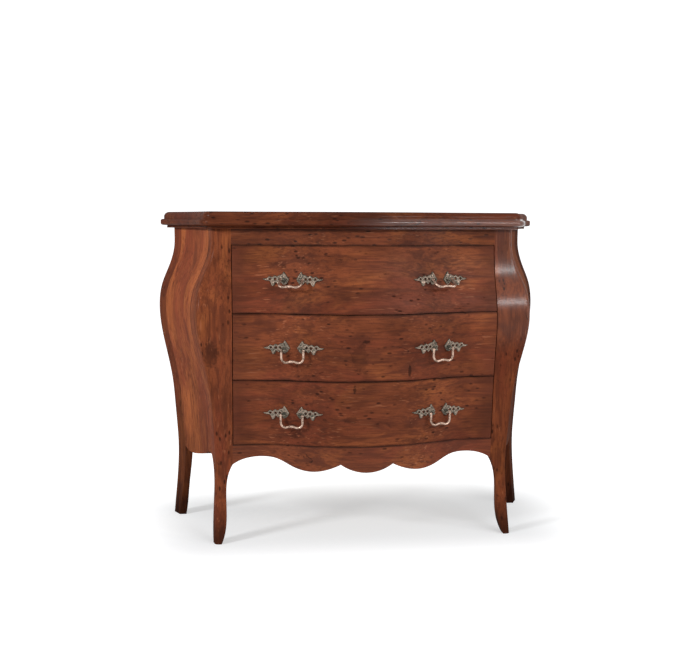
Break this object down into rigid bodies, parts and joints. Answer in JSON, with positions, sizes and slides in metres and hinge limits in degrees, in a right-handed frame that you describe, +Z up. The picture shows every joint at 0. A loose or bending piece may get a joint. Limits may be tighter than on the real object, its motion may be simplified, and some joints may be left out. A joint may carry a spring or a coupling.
{
  "type": "bombe chest of drawers",
  "caption": "Wooden chest with a serpentine front and swelling sides, full-width drawers with bail pulls, moulded top, scalloped apron and splayed sabre legs.",
  "frame": {"origin": "middle of the footprint on the floor", "axes": "+X to the right as seen from the front, +Y to the back, +Z up; the drawers open towards -Y"},
  "size_m": [1.0882, 0.4025, 0.864],
  "materials": {
    "polished_wood": "distressed satin red-brown lacquer",
    "plain_wood": "unfinished",
    "pewter": "antique pewter",
    "bail_metal": "worn antique",
    "steel": "plain"
  },
  "bodies": {
    "carcass": {"top_panel": "polished_wood", "top_moulding_front": "polished_wood", "top_moulding_left": "polished_wood", "top_moulding_right": "polished_wood", "front_leg_left": "polished_wood", "front_leg_right": "polished_wood", "rear_leg_left": "polished_wood", "rear_leg_right": "polished_wood", "side_panel_left": "polished_wood", "side_panel_right": "polished_wood", "top_rail": "polished_wood", "front_apron": "polished_wood", "back_panel": "plain_wood", "bottom_rail": "plain_wood", "lower_divider_rail": "plain_wood", "upper_divider_rail": "plain_wood", "kicker_rail": "plain_wood", "runners_left": "plain_wood", "runners_right": "plain_wood", "guides_left": "plain_wood", "guides_right": "plain_wood", "kickers": "plain_wood", "back_rails": "plain_wood", "dust_panels": "plain_wood", "drawer_stops": "plain_wood", "corner_blocks": "plain_wood", "top_screws": "steel"},
    "bottom_drawer": {"bottom_drawer_front": "polished_wood", "bottom_drawer_side_left": "plain_wood", "bottom_drawer_side_right": "plain_wood", "bottom_drawer_back": "plain_wood", "bottom_drawer_bottom": "plain_wood", "bottom_drawer_backplates": "pewter", "bottom_drawer_eye_posts": "pewter", "bottom_drawer_nuts": "steel"},
    "bottom_drawer_bail_left_body": {"bottom_drawer_bail_left": "bail_metal"},
    "bottom_drawer_bail_right_body": {"bottom_drawer_bail_right": "bail_metal"},
    "middle_drawer": {"middle_drawer_front": "polished_wood", "middle_drawer_side_left": "plain_wood", "middle_drawer_side_right": "plain_wood", "middle_drawer_back": "plain_wood", "middle_drawer_bottom": "plain_wood", "middle_drawer_backplates": "pewter", "middle_drawer_eye_posts": "pewter", "middle_drawer_nuts": "steel"},
    "middle_drawer_bail_left_body": {"middle_drawer_bail_left": "bail_metal"},
    "middle_drawer_bail_right_body": {"middle_drawer_bail_right": "bail_metal"},
    "top_drawer": {"top_drawer_front": "polished_wood", "top_drawer_side_left": "plain_wood", "top_drawer_side_right": "plain_wood", "top_drawer_back": "plain_wood", "top_drawer_bottom": "plain_wood", "top_drawer_backplates": "pewter", "top_drawer_eye_posts": "pewter", "top_drawer_nuts": "steel"},
    "top_drawer_bail_left_body": {"top_drawer_bail_left": "bail_metal"},
    "top_drawer_bail_right_body": {"top_drawer_bail_right": "bail_metal"}
  },
  "joints": [
    {"name": "bottom_drawer_slide", "type": "slide", "parent": "carcass", "child": "bottom_drawer", "axis": [0, -1, 0], "range_m": [0, 0.2]},
    {"name": "bottom_drawer_bail_left_hinge", "type": "hinge", "parent": "bottom_drawer", "child": "bottom_drawer_bail_left_body", "pos_m": [-0.19664, -0.13973, 0.3392], "axis": [-0.9434, 0.3317, 0], "range_deg": [-12, 85]},
    {"name": "bottom_drawer_bail_right_hinge", "type": "hinge", "parent": "bottom_drawer", "child": "bottom_drawer_bail_right_body", "pos_m": [0.19664, -0.13973, 0.3392], "axis": [-0.9434, -0.3317, 0], "range_deg": [-12, 85]},
    {"name": "middle_drawer_slide", "type": "slide", "parent": "carcass", "child": "middle_drawer", "axis": [0, -1, 0], "range_m": [0, 0.2]},
    {"name": "middle_drawer_bail_left_hinge", "type": "hinge", "parent": "middle_drawer", "child": "middle_drawer_bail_left_body", "pos_m": [-0.1966, -0.16276, 0.51218], "axis": [-0.9434, 0.3317, 0], "range_deg": [-12, 85]},
    {"name": "middle_drawer_bail_right_hinge", "type": "hinge", "parent": "middle_drawer", "child": "middle_drawer_bail_right_body", "pos_m": [0.1966, -0.16276, 0.51218], "axis": [-0.9434, -0.3317, 0], "range_deg": [-12, 85]},
    {"name": "top_drawer_slide", "type": "slide", "parent": "carcass", "child": "top_drawer", "axis": [0, -1, 0], "range_m": [0, 0.2]},
    {"name": "top_drawer_bail_left_hinge", "type": "hinge", "parent": "top_drawer", "child": "top_drawer_bail_left_body", "pos_m": [-0.19645, -0.14079, 0.69156], "axis": [-0.9434, 0.3317, 0], "range_deg": [-44, 24]},
    {"name": "top_drawer_bail_right_hinge", "type": "hinge", "parent": "top_drawer", "child": "top_drawer_bail_right_body", "pos_m": [0.19645, -0.14079, 0.69156], "axis": [-0.9434, -0.3317, 0], "range_deg": [-44, 24]}
  ]
}
